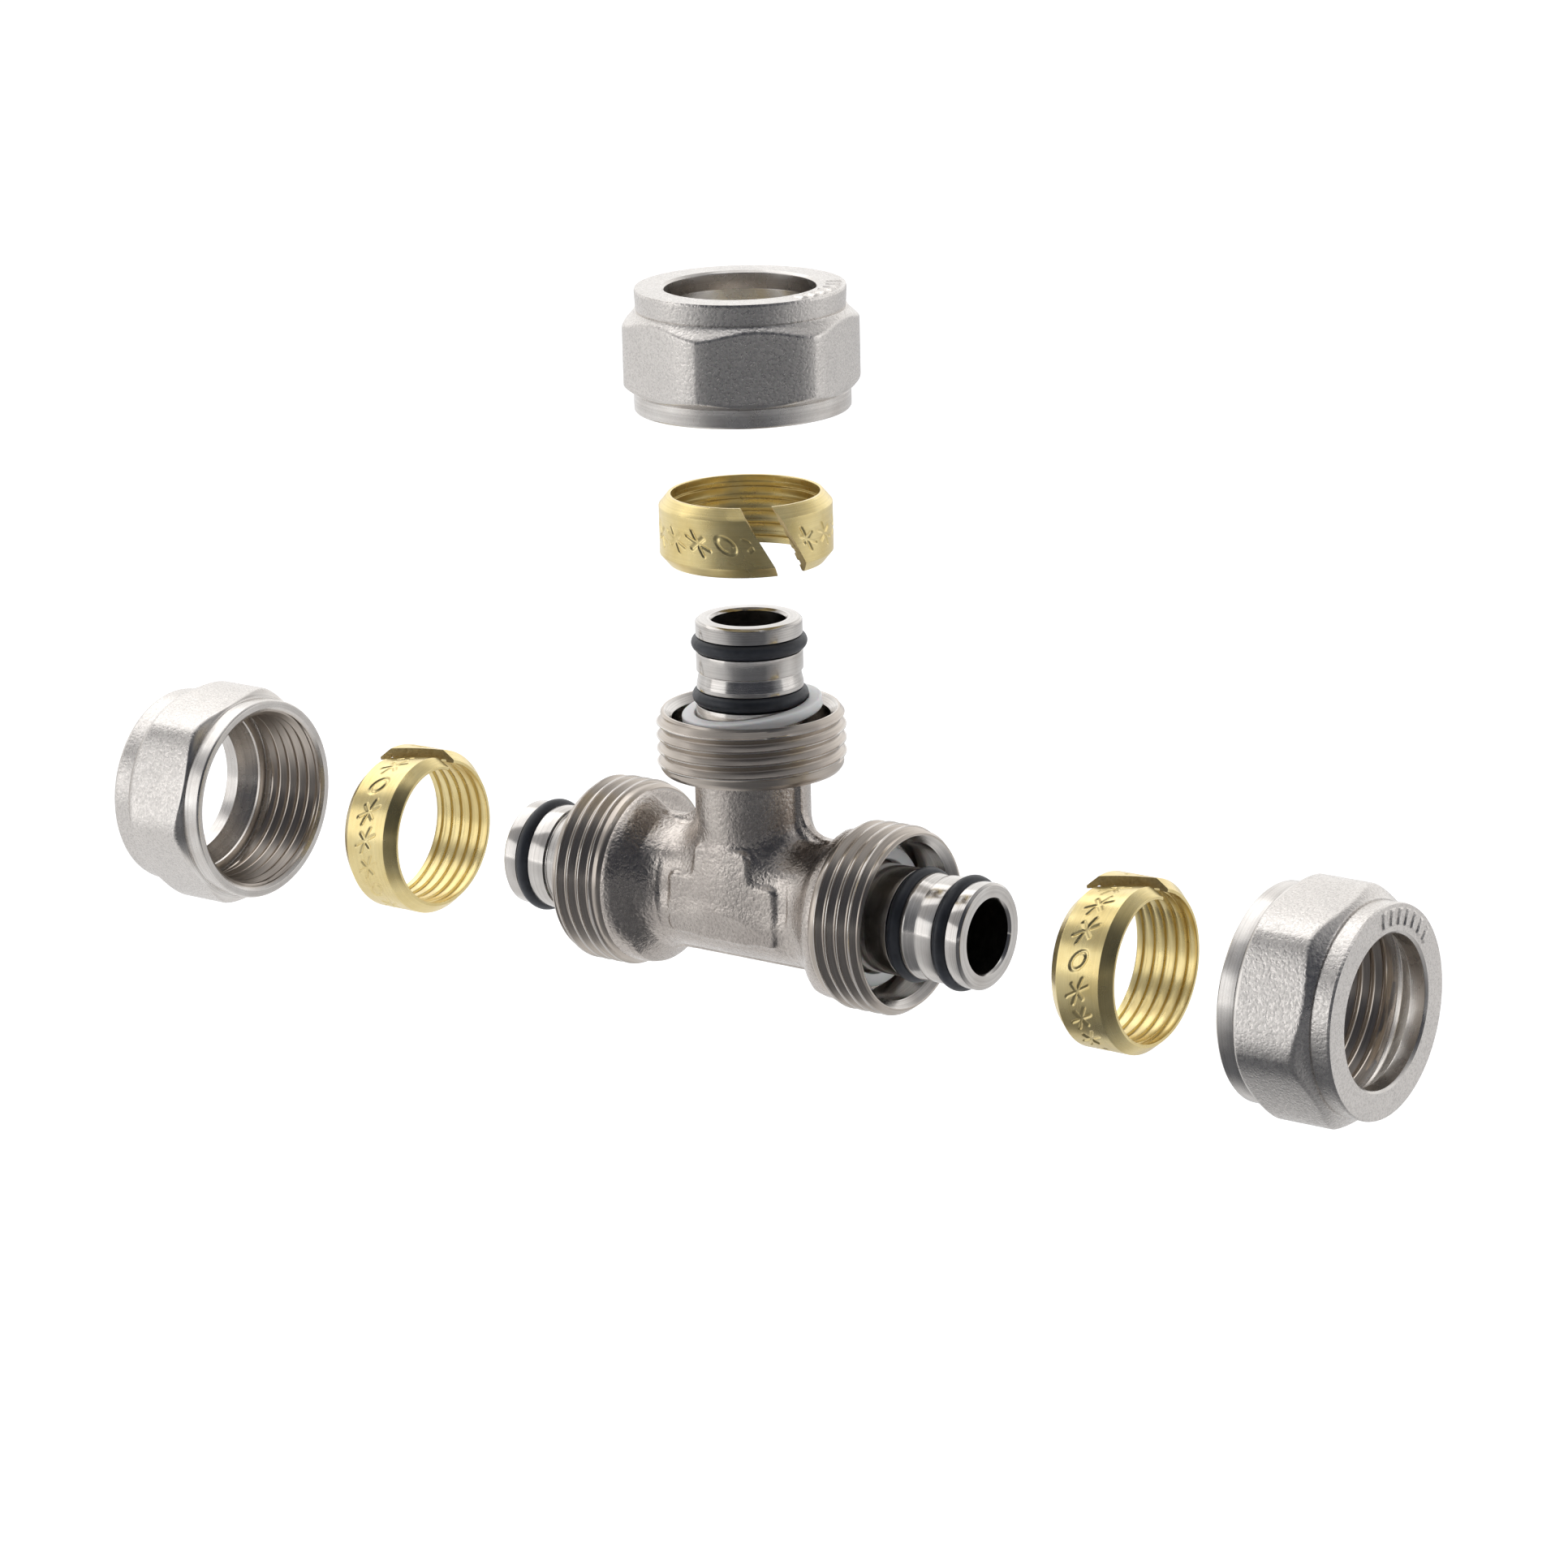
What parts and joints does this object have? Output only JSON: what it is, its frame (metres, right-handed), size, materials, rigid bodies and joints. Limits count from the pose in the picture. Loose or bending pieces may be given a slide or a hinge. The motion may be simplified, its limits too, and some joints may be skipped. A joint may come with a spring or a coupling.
{
  "type": "compression fitting",
  "caption": "Equal tee compression fitting for multilayer pipe, drawn apart: forged tee with sealed spigots, flat washers, split clamping rings and hexagonal nuts.",
  "frame": {"origin": "crossing of the run and branch centrelines", "axes": "+Z along the branch, +X along the run towards the right port, -Y to the side with the raised pad"},
  "size_m": [0.1668, 0.026, 0.0815],
  "materials": {
    "nickel_body": "nickel plated, sand-textured forging with bright turned ends",
    "nickel_nut": "nickel plated, blasted flats with turned skirt",
    "raw_brass": "satin, bare",
    "nitrile": "satin black",
    "white_plastic": "smooth white"
  },
  "bodies": {
    "tee": {"tee_body": "nickel_body", "left_outer_oring": "nitrile", "left_inner_oring": "nitrile", "right_outer_oring": "nitrile", "right_inner_oring": "nitrile", "branch_outer_oring": "nitrile", "branch_inner_oring": "nitrile"},
    "left_washer": {"left_washer": "white_plastic"},
    "right_washer": {"right_washer": "white_plastic"},
    "branch_washer": {"branch_washer": "white_plastic"},
    "left_ring": {"left_clamp_ring": "raw_brass"},
    "right_ring": {"right_clamp_ring": "raw_brass"},
    "branch_ring": {"branch_clamp_ring": "raw_brass"},
    "left_nut": {"left_nut": "nickel_nut"},
    "right_nut": {"right_nut": "nickel_nut"},
    "branch_nut": {"branch_nut": "nickel_nut"}
  },
  "joints": [
    {"name": "left_washer_seat", "type": "slide", "parent": "tee", "child": "left_washer", "axis": [1, 0, 0], "range_m": [-0.001, 0.00015]},
    {"name": "right_washer_seat", "type": "slide", "parent": "tee", "child": "right_washer", "axis": [-1, 0, 0], "range_m": [-0.001, 0.00015]},
    {"name": "branch_washer_seat", "type": "slide", "parent": "tee", "child": "branch_washer", "axis": [0, 0, -1], "range_m": [0, 0.0035]},
    {"name": "left_ring_push", "type": "slide", "parent": "tee", "child": "left_ring", "axis": [1, 0, 0], "range_m": [0, 0.0248]},
    {"name": "right_ring_push", "type": "slide", "parent": "tee", "child": "right_ring", "axis": [-1, 0, 0], "range_m": [0, 0.025]},
    {"name": "branch_ring_push", "type": "slide", "parent": "tee", "child": "branch_ring", "axis": [0, 0, -1], "range_m": [0, 0.0177]},
    {"name": "left_nut_close", "type": "slide", "parent": "left_ring", "child": "left_nut", "axis": [1, 0, 0], "range_m": [0, 0.03055]},
    {"name": "right_nut_close", "type": "slide", "parent": "right_ring", "child": "right_nut", "axis": [-1, 0, 0], "range_m": [0, 0.02555]},
    {"name": "branch_nut_close", "type": "slide", "parent": "branch_ring", "child": "branch_nut", "axis": [0, 0, -1], "range_m": [0, 0.02025]}
  ]
}
